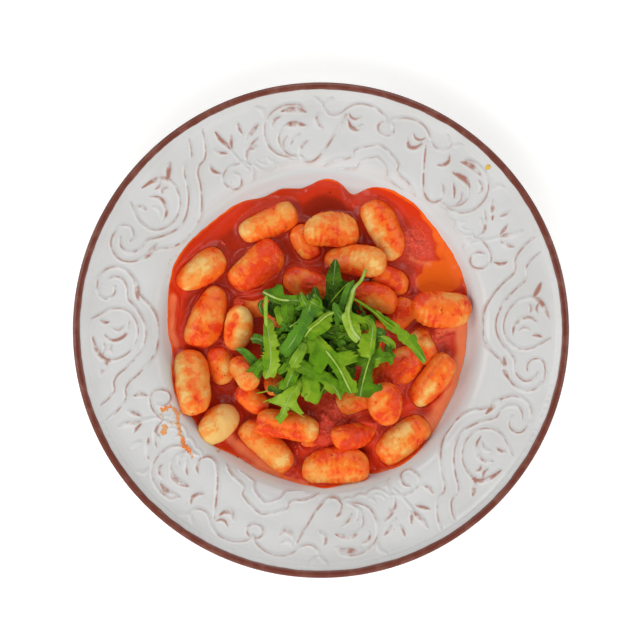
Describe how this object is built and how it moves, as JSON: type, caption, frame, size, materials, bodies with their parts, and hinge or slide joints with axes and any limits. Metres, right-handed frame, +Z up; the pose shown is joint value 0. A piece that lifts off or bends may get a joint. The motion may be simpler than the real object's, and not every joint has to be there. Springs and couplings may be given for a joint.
{
  "type": "plate of potato gnocchi",
  "caption": "Round deep-rimmed plate with relief scrolls, filled with potato gnocchi in tomato sauce under a heap of rocket leaves.",
  "frame": {"origin": "middle of the plate's foot ring, on the surface that it stands on", "axes": "+Z up, square to the table; +Y away from the diner, the picture's upward direction; +X to the diner's right"},
  "size_m": [0.27, 0.27, 0.0481],
  "materials": {
    "white_glaze": "glossy white glaze over stoneware, thin and brown on the rim and on the crests of the relief",
    "tomato_sauce": "wet, glossy, pulpy, more orange where it runs thin",
    "potato_dough": "soft pale yellow dough, stained and coated with sauce",
    "rocket_leaf": "satin green leaf with a pale midrib"
  },
  "bodies": {
    "root": {"plate": "white_glaze", "sauce": "tomato_sauce", "rocket_heap": "rocket_leaf", "gnocco_north_west": "potato_dough", "gnocco_west_high": "potato_dough", "gnocco_north_crossing": "potato_dough", "gnocco_north_east": "potato_dough", "gnocco_west_big": "potato_dough", "gnocco_west_upright": "potato_dough", "gnocco_sunk_west": "potato_dough", "gnocco_sunk_north": "potato_dough", "gnocco_east_small": "potato_dough", "gnocco_east_round": "potato_dough", "gnocco_east_edge": "potato_dough", "gnocco_east_stub": "potato_dough", "gnocco_pulp_covered": "potato_dough", "gnocco_hidden_north": "potato_dough", "gnocco_hidden_west": "potato_dough", "gnocco_hidden_south": "potato_dough", "gnocco_hidden_east": "potato_dough", "gnocco_west_coated": "potato_dough", "gnocco_pale_round": "potato_dough", "gnocco_west_tall": "potato_dough", "gnocco_south_dark": "potato_dough", "gnocco_south_inner": "potato_dough", "gnocco_south_west_low": "potato_dough", "gnocco_south_hidden": "potato_dough", "gnocco_south_edge": "potato_dough", "gnocco_south_east_edge": "potato_dough", "gnocco_east_long": "potato_dough", "gnocco_centre_south": "potato_dough", "gnocco_south_east_inner": "potato_dough", "gnocco_south_red": "potato_dough", "gnocco_creased": "potato_dough", "gnocco_north_ridged": "potato_dough", "gnocco_north_inner": "potato_dough", "gnocco_east_inner": "potato_dough", "gnocco_south_crossing": "potato_dough", "gnocco_west_inner": "potato_dough"}
  },
  "joints": []
}
